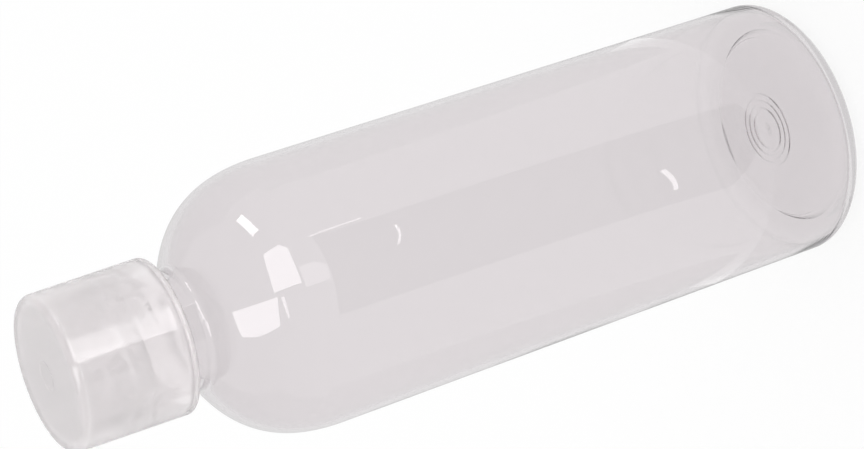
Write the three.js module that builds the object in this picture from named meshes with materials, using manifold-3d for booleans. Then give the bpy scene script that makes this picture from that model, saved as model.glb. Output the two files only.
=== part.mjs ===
// A clear screw-cap bottle: the blown bottle, its moulded cap and the sealing disc inside the cap.
// Millimetres, +Z up. The origin is the middle of the standing ring, on the surface it stands on.

import * as THREE from 'three'
import { mergeVertices } from 'three/addons/utils/BufferGeometryUtils.js'
import Module from 'manifold-3d'

// Body of the bottle, outside
const bodyDiameter = 40
const heelReach = 3.8
const heelRise = 2.6
const standingRingWidth = 1.2
const shoulderStart = 88.4
const shoulderHeight = 18
const shoulderPull = 12
const neckPull = 5
const shoulderSlope = 30.5

// Pushed-up base
const pushUpRise = 2.9
const pushUpFlatRadius = 7.4
const ringRadii = [5.9, 4.8, 3.6]
const ringStep = 0.25
const ringSlant = 0.25

// Plastic thickness of the bottle
const bodyWall = 0.7
const baseThickness = 1.2
const neckWall = 1.35

// Neck and its thread
const neckDiameter = 17.9
const neckLength = 18.1
const neckFillet = 1.2
const mouthRounding = 0.4
const threadDepth = 0.9
const threadPitch = 3.175
const threadTurns = 2
const threadStartBelowMouth = 2.5
const threadRootWidth = 1.9
const threadCrestWidth = 0.8
const threadFadeAngle = 30

// Cap
const capWall = 1.4
const capRimAboveShoulder = 3.3
const capDraft = 0.15
const capPanel = 1.5
const capCorner = 1.25
const capInnerCorner = 0.5
const capRimRounding = 0.45
const capThreadTurns = 2
const capThreadRootWidth = 1.7
const capThreadCrestWidth = 0.7

// Sealing disc
const linerThickness = 1

// Clearances between pieces that touch or run on each other
const seatGap = 0.3
const threadClearance = 0.3

// Fineness of the round surfaces
const segments = 40
const arcSteps = 6
const smallArcSteps = 3
const shoulderSteps = 12

// Sizes that follow from the ones above
const bodyRadius = bodyDiameter / 2
const neckRadius = neckDiameter / 2
const boreRadius = neckRadius - neckWall
const threadRadius = neckRadius + threadDepth
const shoulderEnd = shoulderStart + shoulderHeight
const mouthHeight = shoulderEnd + neckLength
const linerBottom = mouthHeight + seatGap
const panelBottom = linerBottom + linerThickness + seatGap
const capTop = panelBottom + capPanel
const capRim = shoulderEnd + capRimAboveShoulder
const capBoreRadius = threadRadius + threadClearance
const capRadius = capBoreRadius + capWall
const capEndRadius = capRadius - capDraft
const capThreadRadius = neckRadius + threadClearance
const linerRadius = capBoreRadius - seatGap
const threadTop = mouthHeight - threadStartBelowMouth

const radians = THREE.MathUtils.degToRad
const point = (radius, height) => new THREE.Vector2(radius, height)

// Points of an elliptical arc around (radius, height), from one angle to another in degrees.
function arc(radius, height, reach, rise, from, to, steps = arcSteps) {
  return Array.from({ length: steps + 1 }, (_, i) => {
    const angle = radians(from + ((to - from) * i) / steps)
    return point(radius + reach * Math.cos(angle), height + rise * Math.sin(angle))
  })
}

// The shoulder: one cubic curve from the straight wall, inset by a thickness, to a foot on a cone.
function shoulder(inset, foot) {
  const slope = radians(shoulderSlope)
  const curve = new THREE.CubicBezierCurve(
    point(bodyRadius - inset, shoulderStart),
    point(bodyRadius - inset, shoulderStart + shoulderPull - inset),
    point(foot.x + neckPull * Math.cos(slope), foot.y - neckPull * Math.sin(slope)),
    foot
  )
  return curve.getPoints(shoulderSteps)
}

// The fillet between the cone of the shoulder and the upright neck, from the cone upwards.
function neckFoot() {
  const slope = radians(shoulderSlope)
  const onCone = neckFillet * (1 - Math.sin(slope))
  const centre = shoulderEnd - onCone * Math.tan(slope) + neckFillet * Math.cos(slope)
  return arc(neckRadius + neckFillet, centre, neckFillet, neckFillet, 270 - shoulderSlope, 180, smallArcSteps)
}

// Steps of the concentric rings in the middle of the base, from the outermost ring inwards.
function baseRings(height, step) {
  return ringRadii.flatMap((radius, i) => {
    const level = height - step * (i % 2)
    const nextLevel = height - step * ((i + 1) % 2)
    return [point(radius + ringSlant / 2, level), point(radius - ringSlant / 2, nextLevel)]
  })
}

// A closed ring or solid of revolution about Z from a profile of (radius, height) points.
function revolve(profile) {
  const geometry = new THREE.LatheGeometry(profile, segments)
  geometry.rotateX(Math.PI / 2)
  return geometry
}

// A screw ridge as one closed strip: a trapezium section whose root lies inside the wall that carries it.
// The centre of the section climbs by one pitch a turn, and its height fades out at both ends.
function screwRidge({ rootRadius, crestRadius, rootWidth, crestWidth, top, turns, sink }) {
  const steps = Math.round(turns * segments)
  const outwards = Math.sign(crestRadius - rootRadius)
  const buried = rootRadius - outwards * sink
  const positions = []
  for (let i = 0; i <= steps; i++) {
    const angle = (i / segments) * 2 * Math.PI
    const fromEnd = Math.min(i, steps - i) * (360 / segments)
    const fade = THREE.MathUtils.smoothstep(fromEnd, 0, threadFadeAngle)
    const crest = rootRadius + (crestRadius - rootRadius) * fade - outwards * (sink / 2) * (1 - fade)
    const centre = top - turns * threadPitch + (i / segments) * threadPitch
    const section = [
      [buried, -rootWidth / 2],
      [crest, -crestWidth / 2],
      [crest, crestWidth / 2],
      [buried, rootWidth / 2]
    ]
    for (const [radius, offset] of section) {
      positions.push(radius * Math.cos(angle), radius * Math.sin(angle), centre + offset)
    }
  }
  const corners = 4
  const quad = (a, b, c, d) => (outwards > 0 ? [a, b, c, a, c, d] : [a, c, b, a, d, c])
  const indices = quad(0, 1, 2, 3)
  for (let i = 0; i < steps; i++) {
    for (let j = 0; j < corners; j++) {
      const next = (j + 1) % corners
      const here = i * corners
      const there = here + corners
      indices.push(...quad(here + j, there + j, there + next, here + next))
    }
  }
  const last = steps * corners
  indices.push(...quad(last + 3, last + 2, last + 1, last))
  const geometry = new THREE.BufferGeometry()
  geometry.setAttribute('position', new THREE.Float32BufferAttribute(positions, 3))
  geometry.setIndex(indices)
  return geometry
}

const wasm = await Module()
wasm.setup()

// A three.js geometry as a solid for joining.
function toSolid(geometry) {
  const bare = geometry.clone()
  bare.deleteAttribute('normal')
  bare.deleteAttribute('uv')
  const merged = mergeVertices(bare, 1e-4)
  const mesh = new wasm.Mesh({
    numProp: 3,
    vertProperties: new Float32Array(merged.getAttribute('position').array),
    triVerts: new Uint32Array(merged.getIndex().array)
  })
  return new wasm.Manifold(mesh)
}

// A joined solid as a three.js geometry.
function toGeometry(solid) {
  const mesh = solid.getMesh()
  const geometry = new THREE.BufferGeometry()
  geometry.setAttribute('position', new THREE.Float32BufferAttribute(mesh.vertProperties, 3))
  geometry.setIndex(Array.from(mesh.triVerts))
  geometry.computeVertexNormals()
  return geometry
}

// The blown bottle: push-up base, heel, wall, shoulder and neck, then back down the inside.
function bottleGeometry() {
  const ringInner = bodyRadius - heelReach - standingRingWidth
  const [foot, ...fillet] = neckFoot()
  const outside = [
    point(0, pushUpRise - ringStep),
    ...baseRings(pushUpRise, ringStep).reverse(),
    ...arc(pushUpFlatRadius, 0, ringInner - pushUpFlatRadius, pushUpRise, 90, 0),
    ...arc(bodyRadius - heelReach, heelRise, heelReach, heelRise, -90, 0),
    ...shoulder(0, foot),
    ...fillet,
    ...arc(
      neckRadius - mouthRounding,
      mouthHeight - mouthRounding,
      mouthRounding,
      mouthRounding,
      0,
      90,
      smallArcSteps
    )
  ]
  const floor = pushUpRise + baseThickness
  const inside = [
    point(boreRadius, mouthHeight),
    ...shoulder(bodyWall, point(boreRadius, shoulderEnd - bodyWall)).reverse(),
    ...arc(bodyRadius - heelReach, heelRise + bodyWall, heelReach - bodyWall, heelRise, 0, -90),
    ...arc(pushUpFlatRadius, bodyWall, ringInner - pushUpFlatRadius, floor - bodyWall, 0, 90),
    point(0, floor)
  ]
  const ridge = screwRidge({
    rootRadius: neckRadius,
    crestRadius: threadRadius,
    rootWidth: threadRootWidth,
    crestWidth: threadCrestWidth,
    top: threadTop,
    turns: threadTurns,
    sink: (neckRadius - boreRadius) / 3
  })
  return toGeometry(toSolid(revolve([...outside, ...inside])).add(toSolid(ridge)))
}

// The height by which the thread of the cap lies under the thread of the neck, flank clear of flank.
function threadOffset() {
  const depth = threadRadius - neckRadius
  const capDepth = capBoreRadius - capThreadRadius
  const flank = (threadRootWidth - threadCrestWidth) / 2 / depth
  const capFlank = (capThreadRootWidth - capThreadCrestWidth) / 2 / capDepth
  const halfWidth = threadCrestWidth / 2 + flank * (threadRadius - capThreadRadius)
  const halfWidthAtCrest = capThreadCrestWidth / 2 + capFlank * (threadRadius - capThreadRadius)
  const atCapCrest = halfWidth + capThreadCrestWidth / 2
  const atNeckCrest = halfWidthAtCrest + threadCrestWidth / 2
  const steepest = Math.max(flank, capFlank)
  return Math.max(atCapCrest, atNeckCrest) + threadClearance * Math.hypot(1, steepest)
}

// The moulded cap: outside from the middle of its end to the rim, then back up the bore.
function capGeometry() {
  const profile = [
    point(0, panelBottom),
    ...arc(
      capBoreRadius - capInnerCorner,
      panelBottom - capInnerCorner,
      capInnerCorner,
      capInnerCorner,
      90,
      0,
      smallArcSteps
    ),
    ...arc(
      (capBoreRadius + capRadius) / 2,
      capRim + capRimRounding,
      (capRadius - capBoreRadius) / 2,
      capRimRounding,
      -180,
      0
    ),
    ...arc(capEndRadius - capCorner, capTop - capCorner, capCorner, capCorner, 0, 90),
    point(0, capTop)
  ]
  const ridge = screwRidge({
    rootRadius: capBoreRadius,
    crestRadius: capThreadRadius,
    rootWidth: capThreadRootWidth,
    crestWidth: capThreadCrestWidth,
    top: threadTop - threadOffset(),
    turns: capThreadTurns,
    sink: (capEndRadius - capBoreRadius) / 3
  })
  return toGeometry(toSolid(revolve(profile)).add(toSolid(ridge)))
}

// The sealing disc: a plain round sheet, trapped above the thread of the cap.
function linerGeometry() {
  return revolve([
    point(0, 0),
    point(linerRadius, 0),
    point(linerRadius, linerThickness),
    point(0, linerThickness)
  ])
}

const clearPlastic = new THREE.MeshStandardMaterial({ color: 0xd8d3d5, roughness: 0.06, metalness: 0 })
const milkyPlastic = new THREE.MeshStandardMaterial({ color: 0xdad5d6, roughness: 0.12, metalness: 0 })
const softPlastic = new THREE.MeshStandardMaterial({ color: 0xe4e1e1, roughness: 0.45, metalness: 0 })

function piece(name, geometry, material, height = 0) {
  const mesh = new THREE.Mesh(geometry, material)
  mesh.name = name
  mesh.position.z = height
  return mesh
}

const group = new THREE.Group()
group.add(piece('bottle', bottleGeometry(), clearPlastic))
group.add(piece('cap', capGeometry(), milkyPlastic))
group.add(piece('cap_liner', linerGeometry(), softPlastic, linerBottom))

export default group
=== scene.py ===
import math

import bpy
import numpy as np
from mathutils import Matrix, Vector


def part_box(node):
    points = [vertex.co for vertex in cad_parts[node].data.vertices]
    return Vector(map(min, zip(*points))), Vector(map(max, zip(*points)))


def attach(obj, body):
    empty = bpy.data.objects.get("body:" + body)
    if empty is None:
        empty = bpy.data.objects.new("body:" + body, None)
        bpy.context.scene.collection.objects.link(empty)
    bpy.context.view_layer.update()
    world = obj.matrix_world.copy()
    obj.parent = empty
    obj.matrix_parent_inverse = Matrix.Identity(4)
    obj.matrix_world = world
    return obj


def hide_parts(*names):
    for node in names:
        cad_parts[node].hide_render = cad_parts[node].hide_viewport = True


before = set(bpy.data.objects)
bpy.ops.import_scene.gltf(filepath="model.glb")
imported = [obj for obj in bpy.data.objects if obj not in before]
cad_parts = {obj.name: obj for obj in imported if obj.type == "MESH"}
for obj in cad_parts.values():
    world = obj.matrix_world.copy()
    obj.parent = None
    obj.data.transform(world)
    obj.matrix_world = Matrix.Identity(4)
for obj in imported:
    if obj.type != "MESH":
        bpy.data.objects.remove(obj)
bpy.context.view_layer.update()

bottle_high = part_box("bottle")[1]
cap_low, cap_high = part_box("cap")
liner_low, liner_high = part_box("cap_liner")

# Fineness of the round surfaces and of the arcs laid round the foot, and the height of the short rows that
# end a straight wall, so that its shading stays straight
columns = 256
arc_steps = 96
end_rows = 0.0008

# Bottle, outside (metres)
body_radius = bottle_high.x
heel_reach = 0.0038
heel_rise = 0.0026
standing_ring_width = 0.0012
shoulder_start = 0.0884
shoulder_end = 0.1064
shoulder_pull = 0.012
neck_pull = 0.005
shoulder_slope = math.radians(30.5)

# Pushed-up base, with its rings and the nub left by the gate. Rows lie close together inside marked_reach
push_up_rise = 0.0029
push_up_flat = 0.0074
push_up_first_angle = 87
marked_reach = 0.0064
plain_start = 0.0068
ring_radii = (0.0059, 0.0048, 0.0036)
ring_step = 0.00008
ring_softness = 0.0006
ring_return = 0.0007
nub_radius = 0.0018
nub_height = 0.00014
ring_corner = 0.0007
ring_corner_angle = 20

# Plastic thickness of the bottle, and the slow wave of its inside between two heights
body_wall = 0.0007
base_thickness = 0.0012
neck_wall = 0.00135
wall_unevenness = 0.000008
wave_start = 0.006
wave_end = 0.1
wave_ease = 0.012

# Neck and its thread
neck_radius = 0.00895
neck_fillet = 0.0012
inner_neck_fillet = 0.002
mouth_height = bottle_high.z
mouth_rounding = 0.0004
mouth_inner_rounding = 0.0002
thread_depth = 0.0009
thread_pitch = 0.003175
thread_turns = 2
thread_top = mouth_height - 0.0025
thread_root_width = 0.0019
thread_crest_width = 0.0008
thread_fade = 30 / 360

# Cap
cap_rim = cap_low.z
cap_top = cap_high.z
cap_radius = cap_high.x
cap_bore = 0.01015
cap_draft = 0.00015
cap_panel = 0.0015
cap_corner = 0.00125
cap_inner_corner = 0.0005
cap_rim_rounding = 0.00045
cap_lead = 0.0003
rim_groove_rise = 0.00095
rim_groove_depth = 0.0001
rim_groove_half_width = 0.00018
cap_thread_reach = 0.0009
cap_thread_drop = 0.001468
cap_thread_root_width = 0.0017
cap_thread_crest_width = 0.0007
gate_radius = 0.0021
gate_depth = 0.00008
gate_edge = 0.0003
gate_rows_start = gate_radius + 0.0004
plain_rows_end = gate_radius + 0.0006

# Sealing disc
liner_radius = liner_high.x
liner_rounding = 0.00015


def line(start, end, steps):
    """Points on a straight line: start + (end - start) t, for t from 0 up to 1, which is left out."""
    t = np.linspace(0, 1, steps, endpoint=False)[:, None]
    return np.array(start) + (np.array(end) - np.array(start)) * t


def arc(centre, reach, rise, first, last, steps):
    """Points on an ellipse: centre + (reach cos a, rise sin a), for a in degrees from first up to last.

    The last point is left out.
    """
    a = np.radians(np.linspace(first, last, steps, endpoint=False))
    return np.column_stack([centre[0] + reach * np.cos(a), centre[1] + rise * np.sin(a)])


def cubic(start, pull_start, pull_end, end, steps):
    """Points on a cubic curve: the four points weighted by (1-t)^3, 3 (1-t)^2 t, 3 (1-t) t^2 and t^3."""
    t = np.linspace(0, 1, steps, endpoint=False)[:, None]
    weights = ((1 - t) ** 3, 3 * (1 - t) ** 2 * t, 3 * (1 - t) * t**2, t**3)
    return sum(w * np.array(p) for w, p in zip(weights, (start, pull_start, pull_end, end)))


def smooth_step(t):
    """3 t^2 - 2 t^3, with t held between 0 and 1."""
    t = np.clip(t, 0, 1)
    return t * t * (3 - 2 * t)


def thread_height(angle, height, top, root_width, crest_width):
    """How far each point lies up a screw thread, from 0 at its root to 1 on its crest.

    The middle of the thread climbs one pitch a turn and ends at height top. Both ends fade out over
    thread_fade of a turn.
    """
    rise = np.zeros(np.broadcast(angle, height).shape)
    for turn in range(thread_turns + 1):
        along = angle / (2 * math.pi) + turn
        middle = top - (thread_turns - along) * thread_pitch
        flank = (root_width / 2 - np.abs(height - middle)) / ((root_width - crest_width) / 2)
        fade = np.minimum(along, thread_turns - along) / thread_fade
        rise = np.maximum(rise, smooth_step(flank) * smooth_step(fade))
    return rise


def turned(name, radius, height):
    """A closed surface of revolution: (radius cos a, radius sin a, height), with a pole at each end.

    radius and height hold a row for each ring and a column for each angle. The rows walk from the first pole
    to the last with the solid on the left.
    """
    angle = np.arange(columns) * 2 * math.pi / columns
    rings = np.stack([radius * np.cos(angle), radius * np.sin(angle), height], axis=-1)[1:-1]
    count = len(rings)
    first_pole = (0, 0, height[0, 0])
    last_pole = (0, 0, height[-1, 0])
    points = np.vstack([rings.reshape(-1, 3), [first_pole, last_pole]])
    here = np.arange(columns)
    there = np.roll(here, -1)
    rows = np.arange(count - 1)[:, None] * columns
    quads = np.stack([rows + here, rows + there, rows + there + columns, rows + here + columns], axis=-1)
    last_ring = (count - 1) * columns
    first_fan = np.column_stack([np.full(columns, len(points) - 2), there, here])
    last_fan = np.column_stack([np.full(columns, len(points) - 1), here + last_ring, there + last_ring])
    mesh = bpy.data.meshes.new(name)
    faces = quads.reshape(-1, 4).tolist() + first_fan.tolist() + last_fan.tolist()
    mesh.from_pydata(points.tolist(), [], faces)
    mesh.polygons.foreach_set("use_smooth", np.ones(len(faces), bool))
    mesh.update()
    piece = bpy.data.objects.new(name, mesh)
    bpy.context.scene.collection.objects.link(piece)
    return piece


def base_height(radius):
    """Height of the pushed-up base at a radius, outside: an ellipse, less the rings and the nub.

    Going inwards, each ring drops by ring_step over ring_softness and climbs back over ring_return.
    """
    ring_inner = body_radius - heel_reach - standing_ring_width
    across = np.clip((radius - push_up_flat) / (ring_inner - push_up_flat), 0, 1)
    height = push_up_rise * np.sqrt(1 - across**2)
    for ring in ring_radii:
        drop = smooth_step((ring - radius) / ring_softness + 0.5)
        climb = smooth_step((ring - ring_softness / 2 - radius) / ring_return)
        height = height - ring_step * (drop - climb)
    return height - nub_height * (1 - smooth_step(radius / nub_radius))


def ring_edge(ring_inner, level, rise):
    """The rounded edge between the pushed-up ellipse and the flat ring: a cubic curve, tangent to both."""
    a = math.radians(ring_corner_angle)
    reach = ring_inner - push_up_flat
    start = (push_up_flat + reach * math.cos(a), level + rise * math.sin(a))
    leave = ring_corner / 2
    slant = math.hypot(reach * math.sin(a), rise * math.cos(a))
    pull = (start[0] + leave * reach * math.sin(a) / slant, start[1] - leave * rise * math.cos(a) / slant)
    end = (ring_inner + ring_corner, level)
    return cubic(start, pull, (end[0] - leave, level), end, 8)


def bottle_surface():
    """The blown bottle: base, heel, wall, shoulder, neck and mouth, then back down the inside.

    The thread stands on the neck as thread_depth times thread_height. The inside wall wanders a little, by
    wall_unevenness times sin(2a + 1.1 + 38z) + 0.6 sin(3a - 0.4 - 61z), for the angle a and the height z,
    and the wave eases in and out over wave_ease. Neck and shoulder meet in a round fillet on both sides,
    tangent to the neck and to the shoulder's slope.
    """
    ring_inner = body_radius - heel_reach - standing_ring_width
    on_cone = neck_fillet * (1 - math.sin(shoulder_slope))
    fillet_height = (
        shoulder_end - on_cone * math.tan(shoulder_slope) + neck_fillet * math.cos(shoulder_slope)
    )
    fillet_centre = (neck_radius + neck_fillet, fillet_height)
    foot_angle = 3 * math.pi / 2 - shoulder_slope
    foot = (
        fillet_centre[0] + neck_fillet * math.cos(foot_angle),
        fillet_centre[1] + neck_fillet * math.sin(foot_angle),
    )
    pull = (
        foot[0] + neck_pull * math.cos(shoulder_slope),
        foot[1] - neck_pull * math.sin(shoulder_slope),
    )
    bore = neck_radius - neck_wall
    inner_radius = body_radius - body_wall
    inner_height = (
        shoulder_end - body_wall + inner_neck_fillet * math.cos(shoulder_slope)
        - inner_neck_fillet * (1 - math.sin(shoulder_slope)) * math.tan(shoulder_slope)
    )
    inner_centre = (bore + inner_neck_fillet, inner_height)
    inner_foot = (
        inner_centre[0] + inner_neck_fillet * math.cos(foot_angle),
        inner_centre[1] + inner_neck_fillet * math.sin(foot_angle),
    )
    inner_pull = (
        inner_foot[0] + neck_pull * math.cos(shoulder_slope),
        inner_foot[1] - neck_pull * math.sin(shoulder_slope),
    )
    base_radii = np.concatenate([
        np.linspace(0, marked_reach, 72),
        np.linspace(plain_start, push_up_flat, 3),
    ])
    fillet_end = 270 - math.degrees(shoulder_slope)
    outside = np.vstack([
        np.column_stack([base_radii, base_height(base_radii)]),
        arc(
            (push_up_flat, 0), ring_inner - push_up_flat, push_up_rise,
            push_up_first_angle, ring_corner_angle, 18,
        ),
        ring_edge(ring_inner, 0, push_up_rise),
        line((ring_inner + ring_corner, 0), (body_radius - heel_reach, 0), 2),
        arc((body_radius - heel_reach, heel_rise), heel_reach, heel_rise, -90, 0, 22),
        line((body_radius, heel_rise), (body_radius, heel_rise + end_rows), 2),
        line((body_radius, heel_rise + end_rows), (body_radius, shoulder_start - end_rows), 4),
        line((body_radius, shoulder_start - end_rows), (body_radius, shoulder_start), 2),
        cubic(
            (body_radius, shoulder_start), (body_radius, shoulder_start + shoulder_pull), pull, foot, 34,
        ),
        arc(fillet_centre, neck_fillet, neck_fillet, fillet_end, 180, 8),
        line((neck_radius, fillet_height), (neck_radius, mouth_height - mouth_rounding), 81),
        arc(
            (neck_radius - mouth_rounding, mouth_height - mouth_rounding),
            mouth_rounding, mouth_rounding, 0, 90, 6,
        ),
    ])
    inside_base = push_up_rise + base_thickness
    inside = np.vstack([
        line(
            (neck_radius - mouth_rounding, mouth_height),
            (bore + mouth_inner_rounding, mouth_height), 2,
        ),
        arc(
            (bore + mouth_inner_rounding, mouth_height - mouth_inner_rounding),
            mouth_inner_rounding, mouth_inner_rounding, 90, 180, 4,
        ),
        line((bore, mouth_height - mouth_inner_rounding), (bore, inner_height + end_rows), 6),
        line((bore, inner_height + end_rows), (bore, inner_height), 2),
        arc(inner_centre, inner_neck_fillet, inner_neck_fillet, 180, fillet_end, 10),
        cubic(
            inner_foot, inner_pull,
            (inner_radius, shoulder_start + shoulder_pull - body_wall), (inner_radius, shoulder_start), 34,
        ),
        line((inner_radius, shoulder_start), (inner_radius, heel_rise + body_wall), 17),
        arc(
            (body_radius - heel_reach, heel_rise + body_wall), heel_reach - body_wall, heel_rise, 0, -90, 18,
        ),
        ring_edge(ring_inner, body_wall, inside_base - body_wall)[::-1],
        arc(
            (push_up_flat, body_wall), ring_inner - push_up_flat, inside_base - body_wall,
            ring_corner_angle, 90, 18,
        ),
        line((push_up_flat, inside_base), (0, inside_base), 4),
        [(0, inside_base)],
    ])
    profile = np.vstack([outside, inside])
    angle = np.arange(columns) * 2 * math.pi / columns
    radius = np.repeat(profile[:, :1], columns, axis=1)
    height = np.repeat(profile[:, 1:], columns, axis=1)
    is_outside = (np.arange(len(profile)) < len(outside))[:, None]
    threaded = is_outside & (height > fillet_height) & (height < mouth_height - mouth_rounding)
    rise = thread_height(angle, height, thread_top, thread_root_width, thread_crest_width)
    radius = radius + np.where(threaded, thread_depth * rise, 0)
    wave = np.sin(2 * angle + 1.1 + 38 * height) + 0.6 * np.sin(3 * angle - 0.4 - 61 * height)
    on_wall = smooth_step((height - wave_start) / wave_ease) * smooth_step((wave_end - height) / wave_ease)
    radius = radius + np.where(is_outside, 0, wall_unevenness * wave * on_wall)
    return turned("bottle_shell", radius, height)


def cap_surface():
    """The moulded cap: from the middle of its panel down the threaded bore, round the rim and up the outside.

    The thread stands in from the bore by cap_thread_reach times thread_height. A fine groove runs round the
    outside above the rim. The gate leaves a shallow round dimple in the middle of the end: gate_depth times a
    smooth step down inside gate_radius.
    """
    panel = cap_top - cap_panel
    end_radius = cap_radius - cap_draft
    rim_middle = (cap_bore + cap_lead + cap_radius) / 2
    rim_reach = (cap_radius - cap_bore - cap_lead) / 2
    bore_top = panel - cap_inner_corner
    bore_foot = cap_rim + cap_rim_rounding + cap_lead
    groove = cap_rim + rim_groove_rise
    end_radii = np.concatenate([
        np.linspace(end_radius - cap_corner, plain_rows_end, 10),
        np.linspace(gate_rows_start, 0, 14),
    ])
    dimple = gate_depth * (1 - smooth_step((end_radii - gate_radius) / gate_edge + 0.5))
    profile = np.vstack([
        line((0, panel), (cap_bore - cap_inner_corner, panel), 8),
        arc((cap_bore - cap_inner_corner, bore_top), cap_inner_corner, cap_inner_corner, 90, 0, 8),
        line((cap_bore, bore_top), (cap_bore, bore_foot), 150),
        line((cap_bore, bore_foot), (cap_bore + cap_lead, cap_rim + cap_rim_rounding), 3),
        arc((rim_middle, cap_rim + cap_rim_rounding), rim_reach, cap_rim_rounding, 180, 360, 16),
        line((cap_radius, cap_rim + cap_rim_rounding), (cap_radius, groove - rim_groove_half_width), 2),
        arc((cap_radius, groove), -rim_groove_depth, rim_groove_half_width, -90, 90, 10),
        line((cap_radius, groove + rim_groove_half_width), (end_radius, cap_top - cap_corner), 20),
        arc((end_radius - cap_corner, cap_top - cap_corner), cap_corner, cap_corner, 0, 90, 16),
        np.column_stack([end_radii, cap_top - dimple]),
    ])
    angle = np.arange(columns) * 2 * math.pi / columns
    radius = np.repeat(profile[:, :1], columns, axis=1)
    height = np.repeat(profile[:, 1:], columns, axis=1)
    threaded = np.isclose(radius, cap_bore, rtol=0, atol=1e-6) & (height > bore_foot) & (height < bore_top)
    top = thread_top - cap_thread_drop
    rise = thread_height(angle, height, top, cap_thread_root_width, cap_thread_crest_width)
    radius = radius - np.where(threaded, cap_thread_reach * rise, 0)
    return turned("cap_shell", radius, height)


def liner_surface():
    """The sealing disc: a flat round sheet whose two edges are rounded by liner_rounding."""
    low, high = liner_low.z, liner_high.z
    middle = liner_radius - liner_rounding
    profile = np.vstack([
        line((0, low), (middle, low), 6),
        arc((middle, low + liner_rounding), liner_rounding, liner_rounding, -90, 0, 5),
        line((liner_radius, low + liner_rounding), (liner_radius, high - liner_rounding), 3),
        arc((middle, high - liner_rounding), liner_rounding, liner_rounding, 0, 90, 5),
        line((middle, high), (0, high), 6),
        [(0, high)],
    ])
    radius = np.repeat(profile[:, :1], columns, axis=1)
    height = np.repeat(profile[:, 1:], columns, axis=1)
    return turned("liner_disc", radius, height)


def new_material(name):
    """An empty node material, with its node tree."""
    material = bpy.data.materials.new(name)
    material.use_nodes = True
    tree = material.node_tree
    tree.nodes.clear()
    output = tree.nodes.new("ShaderNodeOutputMaterial")
    return material, tree, output


def plastic(
    name, colour, reflection, roughness, ior, transmission, bump_scale, bump_distance, depth_colour, depth,
):
    """A clear or milky plastic: a tint at each surface, an absorption inside, and an uneven gloss."""
    material, tree, output = new_material(name)
    shader = tree.nodes.new("ShaderNodeBsdfPrincipled")
    shader.inputs["Base Color"].default_value = (*colour, 1)
    shader.inputs["Specular Tint"].default_value = (*reflection, 1)
    shader.inputs["Roughness"].default_value = roughness
    shader.inputs["IOR"].default_value = ior
    shader.inputs["Transmission Weight"].default_value = transmission
    place = tree.nodes.new("ShaderNodeTexCoord")
    noise = tree.nodes.new("ShaderNodeTexNoise")
    noise.inputs["Scale"].default_value = bump_scale
    noise.inputs["Detail"].default_value = 1
    bump = tree.nodes.new("ShaderNodeBump")
    bump.inputs["Strength"].default_value = 1
    bump.inputs["Distance"].default_value = bump_distance
    tree.links.new(place.outputs["Object"], noise.inputs["Vector"])
    tree.links.new(noise.outputs["Fac"], bump.inputs["Height"])
    tree.links.new(bump.outputs["Normal"], shader.inputs["Normal"])
    tree.links.new(shader.outputs["BSDF"], output.inputs["Surface"])
    inside = tree.nodes.new("ShaderNodeVolumeAbsorption")
    inside.inputs["Color"].default_value = (*depth_colour, 1)
    inside.inputs["Density"].default_value = depth
    tree.links.new(inside.outputs["Volume"], output.inputs["Volume"])
    return material


clear_plastic = plastic(
    "clear_plastic",
    colour=(0.884, 0.861, 0.87),
    reflection=(0.74, 0.715, 0.722),
    roughness=0.015,
    ior=1.575,
    transmission=1.0,
    bump_scale=60,
    bump_distance=0.00001,
    depth_colour=(0.5, 0.48, 0.49),
    depth=85,
)
milky_plastic = plastic(
    "milky_plastic",
    colour=(1.0, 0.968, 0.976),
    reflection=(0.95, 0.93, 0.935),
    roughness=0.02,
    ior=1.49,
    transmission=0.52,
    bump_scale=90,
    bump_distance=0.00001,
    depth_colour=(0.5, 0.48, 0.49),
    depth=0.5,
)
liner_foam = plastic(
    "liner_foam",
    colour=(0.86, 0.84, 0.845),
    reflection=(0.8, 0.78, 0.785),
    roughness=0.5,
    ior=1.45,
    transmission=0.6,
    bump_scale=1500,
    bump_distance=0.00003,
    depth_colour=(0.5, 0.5, 0.5),
    depth=20,
)

bottle_shell = bottle_surface()
bottle_shell.data.materials.append(clear_plastic)
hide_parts("bottle")
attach(bottle_shell, "bottle")

cap_shell = cap_surface()
cap_shell.data.materials.append(milky_plastic)
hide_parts("cap")
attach(cap_shell, "cap")

liner_disc = liner_surface()
liner_disc.data.materials.append(liner_foam)
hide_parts("cap_liner")
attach(liner_disc, "liner")

# Floor: white where it is seen, mirrored or looked through, and it keeps a faint shadow
floor_half = 3.0
floor_drop = 0.00005
floor_white_share = 0.88
floor_paint = (0.97, 0.97, 0.97)
floor_mesh = bpy.data.meshes.new("floor")
floor_corners = [
    (x * floor_half, y * floor_half, -floor_drop) for x, y in ((-1, -1), (1, -1), (1, 1), (-1, 1))
]
floor_mesh.from_pydata(floor_corners, [], [(0, 1, 2, 3)])
floor = bpy.data.objects.new("floor", floor_mesh)
bpy.context.scene.collection.objects.link(floor)
floor_white, tree, output = new_material("floor_white")
paths = tree.nodes.new("ShaderNodeLightPath")
shown_direct = tree.nodes.new("ShaderNodeMath")
shown_direct.operation = "MAXIMUM"
shown_white = tree.nodes.new("ShaderNodeMath")
shown_white.operation = "MAXIMUM"
share = tree.nodes.new("ShaderNodeMath")
share.operation = "MULTIPLY"
share.inputs[1].default_value = floor_white_share
matte = tree.nodes.new("ShaderNodeBsdfDiffuse")
matte.inputs["Color"].default_value = (*floor_paint, 1)
white = tree.nodes.new("ShaderNodeEmission")
white.inputs["Strength"].default_value = 1
mix = tree.nodes.new("ShaderNodeMixShader")
tree.links.new(paths.outputs["Is Camera Ray"], shown_direct.inputs[0])
tree.links.new(paths.outputs["Is Glossy Ray"], shown_direct.inputs[1])
tree.links.new(shown_direct.outputs[0], shown_white.inputs[0])
tree.links.new(paths.outputs["Is Transmission Ray"], shown_white.inputs[1])
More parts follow.
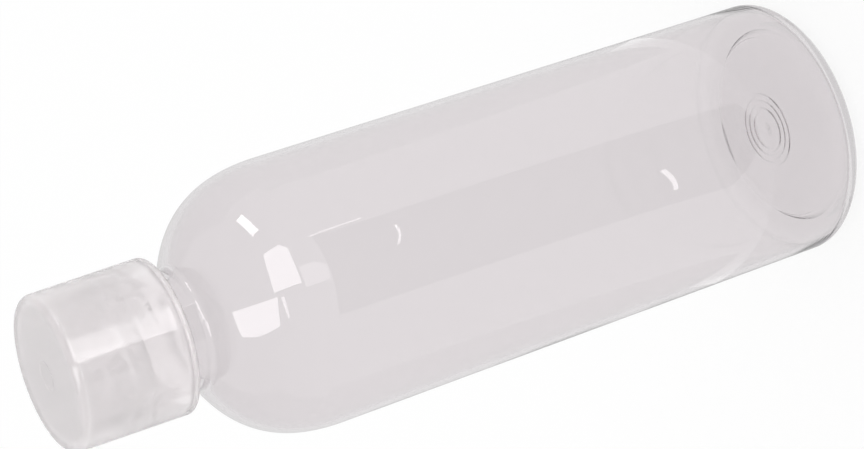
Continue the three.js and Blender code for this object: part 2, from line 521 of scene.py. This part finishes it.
tree.links.new(shown_white.outputs[0], share.inputs[0])
tree.links.new(share.outputs[0], mix.inputs["Fac"])
tree.links.new(matte.outputs[0], mix.inputs[1])
tree.links.new(white.outputs[0], mix.inputs[2])
tree.links.new(mix.outputs[0], output.inputs["Surface"])
floor_mesh.materials.append(floor_white)

# World: plain white all round
world = bpy.data.worlds.new("white_room")
world.use_nodes = True
background = world.node_tree.nodes["Background"]
background.inputs["Color"].default_value = (1, 1, 1, 1)
background.inputs["Strength"].default_value = 1
bpy.context.scene.world = world


def card(name, corners, strength, looked_through=False, faces=None):
    """A flat studio card of even light or shade.

    The gloss of the object shows it. What is seen through the clear plastic shows it only if looked_through.
    """
    mesh = bpy.data.meshes.new(name)
    mesh.from_pydata(corners, [], faces or [range(len(corners))])
    material, tree, output = new_material(name)
    light = tree.nodes.new("ShaderNodeEmission")
    light.inputs["Strength"].default_value = strength
    tree.links.new(light.outputs[0], output.inputs["Surface"])
    mesh.materials.append(material)
    thing = bpy.data.objects.new(name, mesh)
    thing.visible_camera = False
    thing.visible_diffuse = False
    thing.visible_transmission = looked_through
    thing.visible_shadow = False
    bpy.context.scene.collection.objects.link(thing)


def floor_card(name, corners, level, strength):
    """A card that lies on the floor, from the x and y of its corners."""
    card(name, [(x, y, level) for x, y in corners], strength)


def ring_card(name, inner, outer, sweep, strength, looked_through):
    """A flat arc on the floor round the foot: (r cos a, r sin a), for a from -sweep to sweep degrees.

    Its width narrows to nothing at both ends, as the cosine of 90 a / sweep, unless it goes all round.
    """
    step = arc_steps + 1
    angles = np.radians(np.linspace(-sweep, sweep, step))
    taper = np.cos(angles * 90 / sweep) if sweep < 180 else np.ones(step)
    radii = np.concatenate([np.full(step, inner), inner + (outer - inner) * taper])
    turns = np.tile(angles, 2)
    level = np.full(len(turns), flag_lift)
    corners = np.column_stack([radii * np.cos(turns), radii * np.sin(turns), level])
    faces = [(i, i + 1, i + 1 + step, i + step) for i in range(arc_steps)]
    card(name, corners.tolist(), strength, looked_through, faces)


def lamp(name, corner, across, up, radiance, receiver):
    """A rectangular lamp that only the gloss of one piece shows.

    It faces opposite to the cross product of its two edges. Its power is radiance times 4 times its area.
    """
    corner, across, up = Vector(corner), Vector(across), Vector(up)
    light = bpy.data.lights.new(name, "AREA")
    light.shape = "RECTANGLE"
    light.size = across.length
    light.size_y = up.length
    light.energy = radiance * 4 * across.length * up.length
    thing = bpy.data.objects.new(name, light)
    x, y = across.normalized(), up.normalized()
    turn = Matrix((x, y, x.cross(y))).transposed().to_4x4()
    thing.matrix_world = Matrix.Translation(corner + across / 2 + up / 2) @ turn
    thing.visible_camera = False
    thing.visible_diffuse = False
    bpy.context.scene.collection.objects.link(thing)
    lit = bpy.data.collections.new(name + "_lights")
    lit.objects.link(receiver)
    thing.light_linking.receiver_collection = lit


# How far the bright marks and the grey flags lie above the floor
mark_lift = 0.0002
flag_lift = 0.0001

# Soft boxes of the studio, placed where the highlights of the photograph mirror them
card(
    "front_box",
    [(0.5, 0.04, 0.168), (0.5, 0.36, 0.168), (0.5, 0.43, 0.235), (0.5, 0.435, 0.46), (0.5, 0.04, 0.47)],
    6.5,
)
card(
    "low_box",
    [(0.3, 0, 0.03), (0.3, 0.06, 0.02), (0.3, 0.09, 0.06), (0.3, 0.09, 0.125), (0.3, 0, 0.125)],
    2.8,
)
card(
    "top_box",
    [(0.03, 0, 0.5), (0.022, -0.12, 0.5), (0.14, -0.17, 0.5), (0.44, -0.24, 0.5), (0.57, -0.003, 0.5)],
    6.5,
)
card("side_box", [(0.05, 0.5, 0.31), (0.05, 0.5, 0.235), (0.27, 0.5, 0.27), (0.28, 0.5, 0.365)], 10)
card("strip_box", [(0.5, -0.013, 0.4), (0.5, -0.197, 0.4), (0.5, -0.1915, 0.375), (0.5, -0.012, 0.36)], 6)
lamp("cap_box", (0.16, 0.008, 0.03), (0, 0.103, 0), (0, 0, 0.11), 2.7, cap_shell)

# Bright edges and the dark gap on the table in front
floor_card(
    "floor_line", [(0.412, 0.3128), (0.1552, 0.1222), (0.158, 0.119), (0.4178, 0.3043)], mark_lift, 4.5
)
floor_card(
    "floor_stroke", [(0.1687, 0.0734), (0.1841, 0.0275), (0.1852, 0.0275), (0.1698, 0.0734)], mark_lift, 7
)
floor_card(
    "floor_spot", [(0.0795, -0.005), (0.0775, -0.0045), (0.07, -0.0265), (0.0715, -0.027)], mark_lift, 6
)
floor_card(
    "floor_shade", [(0.045, 0.021), (0.355, 0.263), (0.4, -0.22), (0.05, -0.03)], flag_lift, 0.05
)

# Grey flags behind the bottle and round its foot, which keep its outline from mirroring the white room
flag_grey = 0.68
near_flag_grey = 0.66
flag_reach = 0.7
flag_height = 0.8
low_flag_height = 0.5
side_flag_start = -0.1
middle_flag_start = -0.033
middle_flag_half = 0.05
floor_card(
    "middle_flag",
    [
        (middle_flag_start, -middle_flag_half),
        (middle_flag_start, middle_flag_half),
        (-flag_reach, middle_flag_half),
        (-flag_reach, -middle_flag_half),
    ],
    flag_lift,
    near_flag_grey,
)
for place, y in (("left", -flag_reach), ("right", flag_reach)):
    inner_y = math.copysign(middle_flag_half, y)
    floor_card(
        place + "_floor_flag",
        [(0, inner_y), (0, y), (-flag_reach, y), (-flag_reach, inner_y)],
        flag_lift,
        flag_grey,
    )
    card(
        place + "_flag",
        [
            (-flag_reach, y, 0),
            (side_flag_start, y, 0),
            (side_flag_start, y, low_flag_height),
            (-flag_reach, y, flag_height),
        ],
        flag_grey,
    )
card(
    "back_flag",
    [
        (-flag_reach, -flag_reach, 0),
        (-flag_reach, flag_reach, 0),
        (-flag_reach, flag_reach, flag_height),
        (-flag_reach, -flag_reach, flag_height),
    ],
    flag_grey,
)
shade_inner = 0.0163
shade_outer = 0.0195
foot_flag_outer = 0.045
# contact_shade is a painted contact shadow: a grey arc on the floor round the front of the foot, which the
# gloss shows and which is seen through the plastic
ring_card("contact_shade", shade_inner, shade_outer, sweep=80, strength=0.8, looked_through=True)
ring_card("foot_flag", shade_outer, foot_flag_outer, sweep=180, strength=near_flag_grey, looked_through=False)

# The camera of the photograph, worked out from the bottle's outline
sight_height = 0.064292
camera_distance = 0.4
camera_polar = 1.10939
camera_roll = 0.32582
camera_yaw = 0.00682
camera_lens = 113.12
sensor_width = 36

forward = -Vector((math.sin(camera_polar), 0, math.cos(camera_polar)))
sideways = forward.cross(Vector((0, 0, 1))).normalized()
position = Vector((0, 0, sight_height)) - camera_distance * forward
forward = forward * math.cos(camera_yaw) + sideways * math.sin(camera_yaw)
along = Vector((0, 0, 1)) - forward.z * forward
along.normalize()
side = forward.cross(along)
right = -math.cos(camera_roll) * along - math.sin(camera_roll) * side
down = math.sin(camera_roll) * along - math.cos(camera_roll) * side
camera_data = bpy.data.cameras.new("photo_camera")
camera_data.lens = camera_lens
camera_data.sensor_width = sensor_width
camera_data.sensor_fit = "HORIZONTAL"
camera_data.clip_start = 0.01
camera = bpy.data.objects.new("photo_camera", camera_data)
camera.matrix_world = Matrix.Translation(position) @ Matrix((right, -down, -forward)).transposed().to_4x4()
bpy.context.scene.collection.objects.link(camera)
bpy.context.scene.camera = camera

scene = bpy.context.scene
scene.view_settings.view_transform = "Standard"
scene.cycles.max_bounces = 48
scene.cycles.transmission_bounces = 32
scene.cycles.glossy_bounces = 32
scene.cycles.transparent_max_bounces = 16
